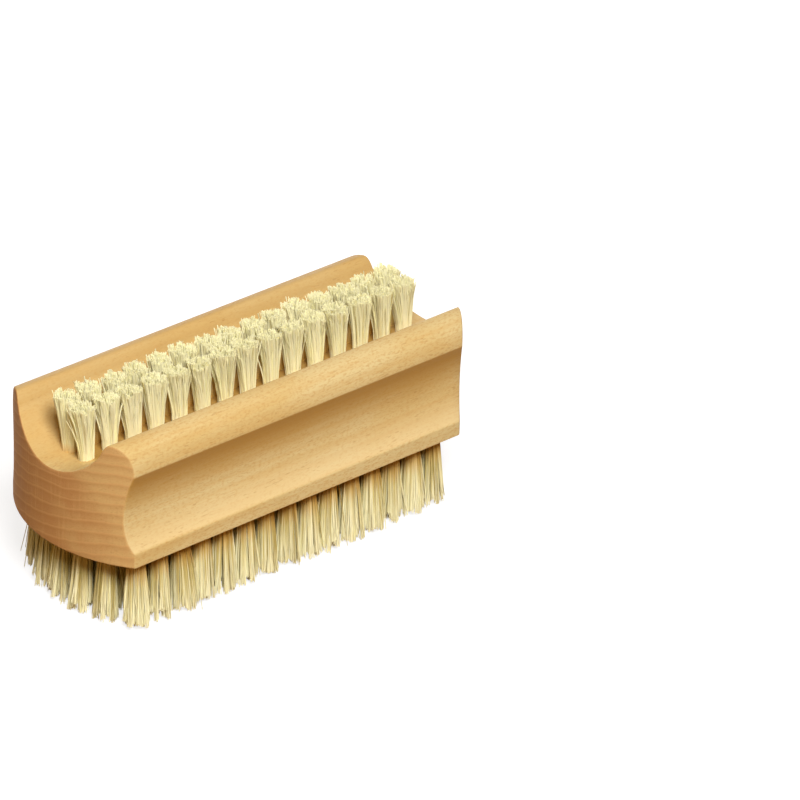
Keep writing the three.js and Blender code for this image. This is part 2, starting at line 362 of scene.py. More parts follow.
def drilled_block():
    """The block with the holes of both faces cut out of it."""
    block = new_object("beech_block", block_mesh())
    long_places = tuft_places(LONG_ROWS, LONG_PITCH, LONG_END_MARGIN)
    short_places = tuft_places(SHORT_ROWS, SHORT_PITCH, SHORT_END_MARGIN)
    long_bits = drill_bits(long_places, np.full(len(long_places), FACE_Z), -1, LONG_HOLE_DEPTH)
    short_bits = drill_bits(short_places, trough_z(short_places[:, 1]), 1, SHORT_HOLE_DEPTH)
    shift = len(long_bits[0])
    bits = new_object("drill_bits", new_mesh(
        "drill_bits",
        np.concatenate([long_bits[0], short_bits[0]]),
        np.concatenate([long_bits[1], short_bits[1] + shift]),
        np.concatenate([long_bits[2], short_bits[2] + shift]),
    ))
    cut = block.modifiers.new("drilled", "BOOLEAN")
    cut.operation = "DIFFERENCE"
    cut.solver = "MANIFOLD"
    cut.object = bits
    bpy.context.view_layer.update()
    whole = block.evaluated_get(bpy.context.evaluated_depsgraph_get())
    mesh = bpy.data.meshes.new_from_object(whole)
    block.modifiers.remove(cut)
    block.data = mesh
    bpy.data.objects.remove(bits)
    mesh.shade_smooth()
    mesh.set_sharp_from_angle(angle=SHARP_ANGLE)
    return block


LOCKS = 17  # groups that a tuft's fibres gather into towards their tips
FIBRE_SIDES = 3
FIBRE_RINGS = 5
GOLDEN_TURN = math.pi * (3 - math.sqrt(5))
SEED_POWER = 0.44  # a half would spread fibres evenly over the circle
ROOT_DEPTH = 1.2 * MM  # how far a fibre starts inside its hole
ROW_END_SLACK = 1 * MM  # tufts this near to the farthest one end their row
LONG_SEED = 11  # of the first row of each kind; the next rows count on
SHORT_SEED = 21

# Chance in a tuft, as spreads or ranges: in shares of its radius
SEAT_JITTER = 0.03
LOCK_JITTER = 0.07
LOCK_GOAL_JITTER = 0.11
LOCK_PULL = (0.3, 1)
SPREAD_JITTER = 0.06
STRAY_CHANCE = 0.03
STRAY_REACH = (1.15, 1.6)
# in metres
TUFT_SWAY = 0.25 * MM
TIP_SWAY = 0.12 * MM
WAVE_SIZES = np.array((0.13, 0.06)) * MM
# in the cut: the share of a lock's unevenness that each fibre has, and fibres that are clearly shorter
FIBRE_CUT = 0.4
BROKEN_CHANCE = 0.07
BROKEN_LOSS = (0.5, 2.4)
# and in a fibre's turn, girth and tone
TURN_JITTER = 0.45
GIRTH_RANGE = (0.7, 1.35)
TIP_TAPER = 0.3
LOCK_TONE = 0.1
TUFT_TONE = 0.06
FIBRE_TONE = 0.2

# How tufts of one kind look: radius at the wood and at the tips, how late they widen, how far they gather
# into locks, how uneven the cut is, the tone and how much paler the tips are, and the painted shade near the
# roots with the share of the length it fades over, within a row and in the tufts at its ends, and the
# fibres' number and radius
TuftLook = namedtuple(
    "TuftLook",
    "root_radius tip_radius flare gather ragged tone tip_pale stain stain_reach end_reach fibres girth")
# the long tufts' low tone, paler towards the tips, is painted shade of the block
LONG_OUTER = TuftLook(
    root_radius=1.42 * MM, tip_radius=2.65 * MM, flare=0.9, gather=0.54, ragged=1.0 * MM,
    tone=0.16, tip_pale=0.84, stain=1.7, stain_reach=0.43, end_reach=0.4, fibres=320, girth=0.12 * MM)
LONG_INNER = LONG_OUTER._replace(tip_radius=2.6 * MM, stain=1.2, stain_reach=0.65)
SHORT_FRONT = TuftLook(
    root_radius=1.34 * MM, tip_radius=2.5 * MM, flare=1.6, gather=0.4, ragged=0.45 * MM,
    tone=0.95, tip_pale=0.1, stain=0.1, stain_reach=0.3, end_reach=0.3, fibres=430, girth=0.145 * MM)
# the back row's lower tone than the front row's is painted shade
SHORT_BACK = SHORT_FRONT._replace(
    gather=0.45, tone=0.85, tip_pale=0.15, stain=1.0, stain_reach=0.75, end_reach=0.12)

# Leans of tufts: at the row ends and in the outer rows below, and of the front and back rows above, in (x, y)
LONG_END_LEAN = 0.8 * MM
LONG_SIDE_LEAN = 0.7 * MM
SHORT_FRONT_LEAN = np.array((-1.3, -0.3)) * MM
SHORT_BACK_LEAN = np.array((-0.5, 0.3)) * MM


def sunflower(count):
    """Points that fill a circle of radius 1, like seeds: radius (i / n) ** power, angle i golden turns.

    The power is a little less than a half, so they stand closer near the edge.
    """
    number = np.arange(count)
    angle = number * GOLDEN_TURN
    radius = ((number + 0.5) / count) ** SEED_POWER
    return radius[:, None] * np.stack([np.cos(angle), np.sin(angle)], axis=1)


def turned(points, angles):
    """The same points once for each angle, turned by it: an array (angles, points, 2)."""
    cos, sin = np.cos(angles)[:, None], np.sin(angles)[:, None]
    x, y = points[None, :, 0], points[None, :, 1]
    return np.stack([cos * x - sin * y, sin * x + cos * y], axis=-1)


def gathered(seats, gather, chance):
    """Where fibres at seats (tufts, fibres, 2) of a circle end when each leans into its lock.

    Every fibre joins the nearest of its tuft's lock middles and moves a share of the way to it, at most
    gather. Also returns the number of each fibre's lock.
    """
    tufts = len(seats)
    middles = turned(sunflower(LOCKS), chance.uniform(0, 2 * math.pi, tufts))
    middles += chance.normal(0, LOCK_JITTER, middles.shape)
    apart = np.linalg.norm(seats[:, :, None, :] - middles[:, None, :, :], axis=-1)
    lock = np.argmin(apart, axis=2)
    pull = np.take_along_axis(chance.uniform(*LOCK_PULL, (tufts, LOCKS)), lock, axis=1)[..., None]
    goals = middles + chance.normal(0, LOCK_GOAL_JITTER, middles.shape)
    goal = np.take_along_axis(goals, lock[..., None], axis=1)
    return seats + gather * pull * (goal - seats), lock


def fibre_paths(places, wood_z, tip_z, up, lean, look, chance):
    """Middle lines of the fibres of some tufts, as an array (tufts, fibres, rings, 3).

    Roots fill the hole evenly. Along its length t a fibre's middle is root + (tip - root) * t ** flare, plus
    two sideways waves that grow with t. Tips are the gathered seats, spread, leaned and cut near one plane.
    """
    tufts = len(places)
    shape = (tufts, look.fibres)
    seats = turned(sunflower(look.fibres), chance.uniform(0, 2 * math.pi, tufts))
    seats += chance.normal(0, SEAT_JITTER, seats.shape)
    root = places[:, None, :] + seats * look.root_radius
    ends, lock = gathered(seats, look.gather, chance)
    spread = look.tip_radius * chance.normal(1, SPREAD_JITTER, (tufts, 1, 1))
    stray = np.where(chance.random(shape) < STRAY_CHANCE, chance.uniform(*STRAY_REACH, shape), 1)[..., None]
    tip = places[:, None, :] + ends * spread * stray
    tip += lean[:, None, :] + chance.normal(0, TUFT_SWAY, (tufts, 1, 2))
    tip += chance.normal(0, TIP_SWAY, (*shape, 2))

    lock_cut = np.take_along_axis(np.abs(chance.normal(0, look.ragged, (tufts, LOCKS))), lock, axis=1)
    cut = lock_cut + np.abs(chance.normal(0, FIBRE_CUT * look.ragged, shape))
    cut += np.where(chance.random(shape) < BROKEN_CHANCE, chance.uniform(*BROKEN_LOSS, shape) * MM, 0)
    root_z = (wood_z - up * ROOT_DEPTH)[:, None, None]
    end_z = (tip_z - up * cut)[..., None]

    t = np.linspace(0, 1, FIBRE_RINGS)
    waves = np.stack([np.sin(math.pi * 1.2 * t), np.sin(math.pi * 2.3 * t + 0.4)]) * t
    size = chance.normal(0, 1, (*shape, 2, 2)) * WAVE_SIZES[:, None]
    wave = np.einsum("abkc,kr->abrc", size, waves)
    paths = np.empty((*shape, FIBRE_RINGS, 3))
    paths[..., :2] = root[:, :, None, :] + (tip - root)[:, :, None, :] * (t ** look.flare)[:, None] + wave
    paths[..., 2] = root_z + (end_z - root_z) * t
    return paths, lock


def fibre_mesh(name, paths, up, lock, look, chance):
    """Thin three-sided tubes round the fibres' middle lines, closed at the tips and a little thinner there.

    One side of each faces about outwards from its tuft. Each point carries its fibre's tone, paler with t
    squared, and a painted shade that fades away from the root.
    """
    tufts = len(paths)
    lines = paths.reshape(-1, FIBRE_RINGS, 3)
    count = len(lines)
    t = np.linspace(0, 1, FIBRE_RINGS)
    seat = paths[:, :, 0, :2] - paths[:, :, 0, :2].mean(axis=1, keepdims=True)
    outside = np.arctan2(seat[..., 1], seat[..., 0]) + chance.normal(0, TURN_JITTER, lock.shape)
    turn = np.linspace(0, 2 * math.pi, FIBRE_SIDES, endpoint=False)[None, None, :]
    turn = turn + outside.reshape(-1, 1, 1) - math.pi / FIBRE_SIDES
    girth = look.girth * chance.uniform(*GIRTH_RANGE, (count, 1)) * (1 - TIP_TAPER * t ** 2)
    points = np.repeat(lines[:, :, None, :], FIBRE_SIDES, axis=2)
    points[..., 0] += girth[..., None] * np.cos(turn)
    points[..., 1] += girth[..., None] * np.sin(turn)

    ring, step = np.meshgrid(np.arange(FIBRE_RINGS - 1), np.arange(FIBRE_SIDES), indexing="ij")
    after = (step + 1) % FIBRE_SIDES
    at = ring * FIBRE_SIDES
    sides = np.stack([at + step, at + after, at + FIBRE_SIDES + after, at + FIBRE_SIDES + step], axis=-1)
    sides = sides.reshape(-1, 4)
    cap = (FIBRE_RINGS - 1) * FIBRE_SIDES + np.arange(FIBRE_SIDES)
    if up < 0:
        sides, cap = sides[:, ::-1], cap[::-1]
    shift = (np.arange(count) * FIBRE_RINGS * FIBRE_SIDES)[:, None, None]
    quads = (sides[None] + shift).reshape(-1, 4)
    caps = (cap[None, None] + shift).reshape(-1, 3)
    mesh = new_mesh(name, points.reshape(-1, 3), quads, caps)
    mesh.shade_flat()

    lock_tone = np.take_along_axis(chance.normal(0, LOCK_TONE, (tufts, LOCKS)), lock, axis=1)
    tone = look.tone + lock_tone + chance.normal(0, TUFT_TONE, (tufts, 1))
    tone = tone + chance.normal(0, FIBRE_TONE, lock.shape)
    tones = np.repeat(tone.reshape(-1, 1) + look.tip_pale * t ** 2, FIBRE_SIDES)
    along = np.abs(paths[:, :, 0, 0].mean(axis=1))
    # painted shade near the roots and between the tufts, fading along the length
    reach = np.where(along > along.max() - ROW_END_SLACK, look.end_reach, look.stain_reach)
    fading = look.stain * np.clip(1 - t / reach[:, None], 0, 1)
    shade_shares = np.repeat(np.repeat(fading, look.fibres, axis=0), FIBRE_SIDES)
    for label, values in (("fibre_tone", tones), ("fibre_shade_share", shade_shares)):
        attribute = mesh.attributes.new(label, "FLOAT", "POINT")
        attribute.data.foreach_set("value", np.clip(values, 0, 1).astype(np.float32))
    return mesh


def long_lean(places):
    """Lean of each long tuft in (x, y): outer rows and row ends have no neighbour, and lean outwards."""
    across = places[:, 1] / (HALF_WIDTH - ROW_SIDE_MARGIN)
    along = places[:, 0] / (HALF_LENGTH - LONG_END_MARGIN)
    return np.stack([LONG_END_LEAN * along ** 9, LONG_SIDE_LEAN * across ** 3], axis=1)


def short_lean(places):
    """Lean of each short tuft in (x, y): both rows lean apart, and along the trough, the front more."""
    return np.where(places[:, 1:] > 0, SHORT_BACK_LEAN, SHORT_FRONT_LEAN)


def tuft_row(name, node, places, wood_z, tip_z, up, lean, look, seed):
    """One row of tufts as a piece, in place of the solid that its node holds for it."""
    chance = np.random.default_rng(seed)
    paths, lock = fibre_paths(places, wood_z, tip_z, up, lean, look, chance)
    row = new_object(name, fibre_mesh(name, paths, up, lock, look, chance))
    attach(row, "root")
    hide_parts(node)
    return row


def bristles():
    """All rows of tufts, six long and two short, numbered from the front."""
    rows = []
    for number, y in enumerate(LONG_ROWS):
        places = tuft_places([y], LONG_PITCH, LONG_END_MARGIN)
        node = "long_bristles_back" if y > 0 else "long_bristles_front"
        look = LONG_OUTER if abs(y) > 2 * LONG_ROW_SPACING else LONG_INNER
        rows.append(tuft_row(
            f"long_tufts_row_{number + 1}", node, places, np.full(len(places), FACE_Z), LONG_TIP_Z, -1,
            long_lean(places), look, LONG_SEED + number,
        ))
    for number, y in enumerate(SHORT_ROWS):
        places = tuft_places([y], SHORT_PITCH, SHORT_END_MARGIN)
        node = "short_bristles_back" if y > 0 else "short_bristles_front"
        look = SHORT_BACK if y > 0 else SHORT_FRONT
        rows.append(tuft_row(
            f"short_tufts_row_{number + 1}", node, places, trough_z(places[:, 1]), SHORT_TIP_Z, 1,
            short_lean(places), look, SHORT_SEED + number,
        ))
    return rows


def long_tuft_anchors():
    """Flat wire blades across the folds of the long tufts, at the ends of their holes."""
    places = tuft_places(LONG_ROWS, LONG_PITCH, LONG_END_MARGIN)
    low = FACE_Z + LONG_HOLE_DEPTH - ANCHOR_LIFT - ANCHOR_SIZE[2]
    corner = np.array([(-1, -1), (1, -1), (1, 1), (-1, 1)]) / 2 * ANCHOR_SIZE[:2]
    ring = np.concatenate([corner, corner])
    height = np.repeat([low, low + ANCHOR_SIZE[2]], 4)
    one = np.concatenate([ring, height[:, None]], axis=1)
    faces = np.array([(3, 2, 1, 0), (4, 5, 6, 7), (0, 1, 5, 4), (1, 2, 6, 5), (2, 3, 7, 6), (3, 0, 4, 7)])
    at = np.concatenate([places, np.zeros((len(places), 1))], axis=1)
    points = (one[None] + at[:, None, :]).reshape(-1, 3)
    quads = (faces[None] + (np.arange(len(places)) * 8)[:, None, None]).reshape(-1, 4)
    return new_object("long_tuft_anchors", new_mesh("long_tuft_anchors", points, quads))


# Colours as they show, 0 to 255
HONEY = (220, 192, 130)
PALE_HONEY = (226, 205, 150)
STREAK_BROWN = (217, 175, 106)
LATE_WOOD = (201, 152, 86)
PORE_BROWN = (204, 156, 90)
# painted shade: side grain towards +Y, away from the key light
SIDE_FAR_SHADE = (206, 166, 101)
# painted light: low in the finger grooves
GROOVE_LIGHT_HONEY = (235, 210, 157)
# painted shade: high in the finger grooves, under the rims
GROOVE_SHADE_BROWN = (183, 138, 66)
# painted shade: the trough's floor between the short tufts
TROUGH_SHADE_BROWN = (176, 130, 52)
# painted shade: the tops of the rims
RIM_SHADE_BROWN = (196, 150, 82)
FLECK_BROWN = (182, 131, 73)
# end grain: painted light towards -Y, painted shade towards +Y
END_NEAR_LIT = (213, 175, 115)
END_FAR_SHADE = (194, 143, 89)
END_PORE = (165, 110, 58)
END_RAY = (211, 165, 107)
END_BAND = (171, 114, 62)
END_LINE = (220, 172, 112)
# low end of the fibre tone; the long tufts and the back short row sit low on it as painted shade
FIBRE_DEEP = (209, 192, 121)
FIBRE_PALE = (255, 251, 209)
FIBRE_MOTTLE = (240, 225, 156)
# painted shade at the tufts' roots and in the gaps between them
DEEP_ROOT_SHADE = (188, 130, 34)
GOLD_ROOT_SHADE = (222, 176, 78)
WIRE_DARK = (170, 172, 176)
WIRE_LIGHT = (205, 206, 208)

# Linear colours and shares of light
WHITE = (1, 1, 1, 1)
WARM_ROOM = (0.12, 0.07, 0.028, 1)  # what the surroundings send to the brush
FLOOR_BOUNCE = (0.38, 0.24, 0.1, 1)  # the floor as the brush sees it
FLOOR_GREY = (0.35, 0.35, 0.35, 1)  # the floor as the camera sees it, before its own glow
FLOOR_HALF = 2.0
GLOW_FROM, GLOW_TO = 0.05, 0.16  # distances over which the glow rises to white
GLOW_UNDER = 0.79
LAMP_DISTANCE = 0.9
LAMP_TARGET = Vector((0, 0, 0.025))

# Wood, in millimetres
RING_WIDTH = 2.25
PITH_ACROSS = 32.0
PITH_BELOW = 139.0
SIDE_FROM = (15.0, 15.6)  # distances from the middle over which the block's outer sides begin


class Nodes:
    """Short way to place and wire nodes in a tree."""

    def __init__(self, tree):
        """Keeps the tree that nodes go into."""
        self.tree = tree

    def add(self, kind, values=None, **settings):
        """New node with some settings, its inputs fed by name."""
        node = self.tree.nodes.new(kind)
        for name, value in settings.items():
            setattr(node, name, value)
        for socket, value in (values or {}).items():
            self.feed(node.inputs[socket], value)
        return node

    def feed(self, socket, value):
        """Links a socket into an input, or sets the input to a constant."""
        if isinstance(value, bpy.types.NodeSocket):
            self.tree.links.new(value, socket)
        else:
            socket.default_value = value

    def math(self, operation, *values):
        """Result of one arithmetic step."""
        node = self.add("ShaderNodeMath", operation=operation)
        for socket, value in zip(node.inputs, values):
            self.feed(socket, value)
        return node.outputs[0]

    def stretch(self, vector, scale, offset=(0, 0, 0)):
        """A place scaled along each axis, then moved."""
        node = self.add("ShaderNodeMapping", {"Vector": vector})
        node.inputs["Scale"].default_value = scale
        node.inputs["Location"].default_value = offset
        return node.outputs[0]

    def noise(self, vector, scale=1.0, detail=2.0, roughness=0.5):
        """Smooth noise from 0 to 1, about a half on average."""
        values = {"Vector": vector, "Scale": scale, "Detail": detail, "Roughness": roughness}
        return self.add("ShaderNodeTexNoise", values).outputs["Fac"]

    def ramp(self, value, low, high, to_low=0.0, to_high=1.0):
        """Smooth step of a value between two limits, onto a range."""
        node = self.add("ShaderNodeMapRange", interpolation_type="SMOOTHSTEP")
        for socket, item in zip(node.inputs, (value, low, high, to_low, to_high)):
            self.feed(socket, item)
        return node.outputs[0]

    def mix(self, share, first, second):
        """Colour between two others."""
        node = self.add("ShaderNodeMix", data_type="RGBA")
        self.feed(node.inputs["Factor"], share)
        self.feed(node.inputs[6], first)
        self.feed(node.inputs[7], second)
        return node.outputs[2]


def colour(*shown):
    """Linear colour from one that is written as it shows, 0 to 255."""
    shares = [value / 255 for value in shown]
    linear = [c / 12.92 if c <= 0.04045 else ((c + 0.055) / 1.055) ** 2.4 for c in shares]
    return (*linear, 1.0)


def new_material(name):
    """Material with its node tree wrapped, and its Principled shader."""
    material = bpy.data.materials.new(name)
    material.use_nodes = True
    nodes = Nodes(material.node_tree)
    return material, nodes, material.node_tree.nodes["Principled BSDF"]


def in_millimetres(nodes, where):
    """The place on the piece in millimetres, the unit of every pattern's scale."""
    return nodes.stretch(where.outputs["Object"], (1000, 1000, 1000))


def growth_rings_group():
    """Node group: yearly rings round a pith far below the block, from a place in millimetres.

    The ring number is the distance from the pith line over the ring's width, with a slow wander and a ripple.
    Line is the thin dense wood that closes a year, Band the slow darkening that leads up to it.
    """
    tree = bpy.data.node_groups.new("growth_rings", "ShaderNodeTree")
    tree.interface.new_socket("Place", in_out="INPUT", socket_type="NodeSocketVector")
    tree.interface.new_socket("Ring Width", in_out="INPUT", socket_type="NodeSocketFloat")
    tree.interface.new_socket("Line", in_out="OUTPUT", socket_type="NodeSocketFloat")
    tree.interface.new_socket("Band", in_out="OUTPUT", socket_type="NodeSocketFloat")
    nodes = Nodes(tree)
    given = nodes.add("NodeGroupInput")
    place = given.outputs["Place"]
    wander = nodes.noise(nodes.stretch(place, (0.01, 0.05, 0.05)), 1.0, 2.0)
    ripple = nodes.noise(nodes.stretch(place, (0.03, 0.3, 0.3)), 1.0, 2.0)
    axes = nodes.add("ShaderNodeSeparateXYZ", {"Vector": place})
    across = nodes.math("POWER", nodes.math("ADD", axes.outputs["Y"], PITH_ACROSS), 2.0)
    down = nodes.math("POWER", nodes.math("ADD", axes.outputs["Z"], PITH_BELOW), 2.0)
    pith = nodes.math("SQRT", nodes.math("ADD", across, down))
    pith = nodes.math("ADD", pith, nodes.math("MULTIPLY", wander, 4.0))
    pith = nodes.math("ADD", pith, nodes.math("MULTIPLY", ripple, 0.9))
    part = nodes.math("FRACT", nodes.math("DIVIDE", pith, given.outputs["Ring Width"]))
    line = nodes.math("MULTIPLY", nodes.ramp(part, 0.66, 0.88), nodes.ramp(part, 0.9, 1.0, 1.0, 0.0))
    band = nodes.math("MULTIPLY", nodes.ramp(part, 0.1, 0.8), nodes.ramp(part, 0.8, 0.95, 1.0, 0.0))
    done = nodes.add("NodeGroupOutput")
    nodes.feed(done.inputs["Line"], line)
    nodes.feed(done.inputs["Band"], band)
    return tree


def wood_fibre_group():
    """Node group: what runs along the grain, from a place in millimetres.

    Streak is long fine fibre, Fleck the short spindle-shaped rays, Speckle the fine open pores and Cloud the
    slow drift of tone.
    """
    tree = bpy.data.node_groups.new("wood_fibre", "ShaderNodeTree")
    tree.interface.new_socket("Place", in_out="INPUT", socket_type="NodeSocketVector")
    for name in ("Streak", "Fleck", "Speckle", "Cloud"):
        tree.interface.new_socket(name, in_out="OUTPUT", socket_type="NodeSocketFloat")
    nodes = Nodes(tree)
    place = nodes.add("NodeGroupInput").outputs["Place"]
    fine = nodes.noise(nodes.stretch(place, (0.07, 3.4, 3.4)), 1.0, 3.0, 0.6)
    broad = nodes.noise(nodes.stretch(place, (0.02, 0.8, 0.8), (7, 3, 1)), 1.0, 2.0)
    streak = nodes.math("ADD", nodes.math("MULTIPLY", fine, 0.5), nodes.math("MULTIPLY", broad, 0.5))
    spindle = nodes.noise(nodes.stretch(place, (0.7, 4.2, 4.2), (3, 9, 5)), 1.0, 0.0)
    patch = nodes.noise(nodes.stretch(place, (0.09, 0.3, 0.3), (4, 2, 6)), 1.0, 1.0)
    fleck = nodes.math("MULTIPLY", nodes.ramp(spindle, 0.66, 0.8), nodes.ramp(patch, 0.4, 0.62))
    speckle = nodes.noise(nodes.stretch(place, (1.3, 2.9, 2.9), (6, 1, 2)), 1.0, 2.0, 0.6)
    cloud = nodes.noise(nodes.stretch(place, (0.04, 0.1, 0.1), (1, 5, 8)), 1.0, 2.0)
    done = nodes.add("NodeGroupOutput")
    for name, value in (("Streak", streak), ("Fleck", fleck), ("Speckle", speckle), ("Cloud", cloud)):
        nodes.feed(done.inputs[name], value)
    return tree


def on_sides(nodes, axes):
    """1 on the outer sides of the block and 0 between them."""
    return nodes.ramp(nodes.math("ABSOLUTE", axes.outputs["Y"]), *SIDE_FROM)


def painted_groove_shade(nodes, place):
    """Share of painted shade high in the finger grooves, under the rim's overhang."""
    axes = nodes.add("ShaderNodeSeparateXYZ", {"Vector": place})
    top = (CREST_Z - RIM_ROUNDING) / MM
    rise = nodes.ramp(axes.outputs["Z"], top - 10.5, top - 0.8, 0.0, 0.9)
    stop = nodes.ramp(axes.outputs["Z"], top - 0.25, top + 0.15, 1.0, 0.0)
    return nodes.math("MULTIPLY", nodes.math("MULTIPLY", rise, stop), on_sides(nodes, axes))


def painted_groove_light(nodes, place):
    """Share of painted light low in the finger grooves, just above the band, where the groove turns up
    towards the light.
    """
    axes = nodes.add("ShaderNodeSeparateXYZ", {"Vector": place})
    foot = (FACE_Z + FLANGE_HEIGHT) / MM
    start = nodes.ramp(axes.outputs["Z"], foot - 0.1, foot + 0.5, 0.0, 0.55)
    fade = nodes.ramp(axes.outputs["Z"], foot + 1.0, foot + 8.0, 1.0, 0.0)
    return nodes.math("MULTIPLY", nodes.math("MULTIPLY", start, fade), on_sides(nodes, axes))


def painted_rim_shade(nodes, place):
    """Share of painted shade over the tops of both rims, outside their crest lines."""
    axes = nodes.add("ShaderNodeSeparateXYZ", {"Vector": place})
    height = nodes.ramp(axes.outputs["Z"], CREST_Z / MM - 1.8, CREST_Z / MM - 0.3, 0.0, 0.14)
    line = CREST_Y / MM
    outside = nodes.ramp(nodes.math("ABSOLUTE", axes.outputs["Y"]), line - 0.3, line + 0.9)
    return nodes.math("MULTIPLY", height, outside)


def painted_trough_shade(nodes, place):
    """Share of painted shade on the trough's floor between the short tufts."""
    axes = nodes.add("ShaderNodeSeparateXYZ", {"Vector": place})
    along = nodes.ramp(nodes.math("ABSOLUTE", axes.outputs["X"]), 38.5, 41.5, 0.75, 0.0)
    across = nodes.ramp(nodes.math("ABSOLUTE", axes.outputs["Y"]), 4.0, 7.0, 1.0, 0.0)
    above = nodes.math("GREATER_THAN", axes.outputs["Z"], (TROUGH_Z - SHORT_HOLE_DEPTH) / MM)
    return nodes.math("MULTIPLY", nodes.math("MULTIPLY", along, across), above)


def beech_material():
    """Waxed beech: honey side grain with faint flecks, browner end grain with pale year lines and fine rays.

    All of it is paler towards -Y and darker towards +Y: painted light and shade, from the key light's side.
    """
    material, nodes, shader = new_material("waxed_beech")
    where = nodes.add("ShaderNodeTexCoord")
    place = in_millimetres(nodes, where)
    rings = nodes.add("ShaderNodeGroup", node_tree=growth_rings_group())
    nodes.feed(rings.inputs["Place"], place)
    nodes.feed(rings.inputs["Ring Width"], RING_WIDTH)
    fibre = nodes.add("ShaderNodeGroup", node_tree=wood_fibre_group())
    nodes.feed(fibre.inputs["Place"], place)

    facing = nodes.add("ShaderNodeSeparateXYZ", {"Vector": where.outputs["Normal"]})
    end = nodes.ramp(nodes.math("ABSOLUTE", facing.outputs["X"]), 0.35, 0.72)

    side = nodes.mix(nodes.ramp(fibre.outputs["Cloud"], 0.35, 0.65), colour(*HONEY), colour(*PALE_HONEY))
    side = nodes.mix(nodes.ramp(fibre.outputs["Streak"], 0.42, 0.68, 0.0, 0.4), side, colour(*STREAK_BROWN))
    side = nodes.mix(nodes.math("MULTIPLY", rings.outputs["Band"], 0.12), side, colour(*LATE_WOOD))
    side = nodes.mix(nodes.ramp(fibre.outputs["Speckle"], 0.46, 0.7, 0.0, 0.5), side, colour(*PORE_BROWN))
    across = nodes.add("ShaderNodeSeparateXYZ", {"Vector": place}).outputs["Y"]
    # painted light and shade: side grain darker towards +Y, away from the key light
    side = nodes.mix(nodes.ramp(across, -15.0, 15.0, 0.0, 0.65), side, colour(*SIDE_FAR_SHADE))
    # painted light low in the finger grooves
    side = nodes.mix(painted_groove_light(nodes, place), side, colour(*GROOVE_LIGHT_HONEY))
    # painted shade high in the finger grooves, under the rims
    side = nodes.mix(painted_groove_shade(nodes, place), side, colour(*GROOVE_SHADE_BROWN))
    # painted shade over the tops of the rims
    side = nodes.mix(painted_rim_shade(nodes, place), side, colour(*RIM_SHADE_BROWN))
    # painted shade on the trough's floor between the short tufts
    side = nodes.mix(painted_trough_shade(nodes, place), side, colour(*TROUGH_SHADE_BROWN))
    side = nodes.mix(nodes.math("MULTIPLY", fibre.outputs["Fleck"], 0.42), side, colour(*FLECK_BROWN))

    rays = nodes.noise(nodes.stretch(place, (0.2, 2.4, 0.14), (2, 4, 6)), 1.0, 2.0)
    pores = nodes.noise(nodes.stretch(place, (2.0, 6.0, 6.0)), 1.0, 2.0)
    # painted light and shade: end grain paler towards -Y, the key light's side, with a wandering edge
    drift = nodes.math("ADD", across, nodes.ramp(fibre.outputs["Cloud"], 0.3, 0.7, 4.0, -4.0))
    cut = nodes.mix(nodes.ramp(drift, -16.0, -2.0), colour(*END_NEAR_LIT), colour(*END_FAR_SHADE))
    cut = nodes.mix(nodes.ramp(pores, 0.5, 0.7, 0.0, 0.42), cut, colour(*END_PORE))
    cut = nodes.mix(nodes.ramp(rays, 0.52, 0.7, 0.0, 0.38), cut, colour(*END_RAY))
    cut = nodes.mix(nodes.math("MULTIPLY", rings.outputs["Band"], 0.3), cut, colour(*END_BAND))
    cut = nodes.mix(nodes.math("MULTIPLY", rings.outputs["Line"], 0.42), cut, colour(*END_LINE))
    nodes.feed(shader.inputs["Base Color"], nodes.mix(end, side, cut))

    rough = nodes.ramp(fibre.outputs["Streak"], 0.3, 0.7, 0.42, 0.54)
    nodes.feed(shader.inputs["Roughness"], nodes.math("ADD", rough, nodes.math("MULTIPLY", end, 0.12)))
    shader.inputs["Specular IOR Level"].default_value = 0.07
    height = nodes.math("MULTIPLY", fibre.outputs["Streak"], 0.5)
    height = nodes.math("ADD", height, nodes.math("MULTIPLY", pores, 0.25))
    height = nodes.math("SUBTRACT", height, nodes.math("MULTIPLY", fibre.outputs["Fleck"], 0.25))
    bump = nodes.add("ShaderNodeBump", {"Height": height, "Strength": 0.15, "Distance": 0.00008})
    nodes.feed(shader.inputs["Normal"], bump.outputs["Normal"])
    return material


def fibre_material():
    """Cream plant fibre: each fibre has its own tone, paler at its cut tip, with golden painted shade near
    the wood.
    """
    material, nodes, shader = new_material("cream_plant_fibre")
    tone = nodes.add("ShaderNodeAttribute", attribute_name="fibre_tone").outputs["Fac"]
    stain = nodes.add("ShaderNodeAttribute", attribute_name="fibre_shade_share").outputs["Fac"]
    place = in_millimetres(nodes, nodes.add("ShaderNodeTexCoord"))
    mottle = nodes.noise(nodes.stretch(place, (2.4, 2.4, 0.5)), 1.0, 2.0)
    pale = nodes.mix(nodes.ramp(tone, 0.1, 0.9), colour(*FIBRE_DEEP), colour(*FIBRE_PALE))
    pale = nodes.mix(nodes.ramp(mottle, 0.5, 0.75, 0.0, 0.3), pale, colour(*FIBRE_MOTTLE))
    # painted shade: golden brown near the roots and in the gaps between tufts
    shaded_root_colour = nodes.mix(nodes.ramp(tone, 0.1, 0.9), colour(*DEEP_ROOT_SHADE), colour(*GOLD_ROOT_SHADE))
    pale = nodes.mix(stain, pale, shaded_root_colour)
    nodes.feed(shader.inputs["Base Color"], pale)
    nodes.feed(shader.inputs["Roughness"], nodes.ramp(mottle, 0.3, 0.7, 0.6, 0.75))
    shader.inputs["Specular IOR Level"].default_value = 0.0
    return material


def wire_material():
    """Drawn flat wire: grey metal with faint lines along the drawing."""
    material, nodes, shader = new_material("drawn_wire")
    where = nodes.add("ShaderNodeTexCoord")
    place = in_millimetres(nodes, where)
    lines = nodes.noise(nodes.stretch(place, (9.0, 0.4, 9.0)), 1.0, 2.0)
    nodes.feed(shader.inputs["Base Color"], nodes.mix(lines, colour(*WIRE_DARK), colour(*WIRE_LIGHT)))
    nodes.feed(shader.inputs["Roughness"], nodes.ramp(lines, 0.3, 0.7, 0.25, 0.4))
    shader.inputs["Metallic"].default_value = 1.0
    return material


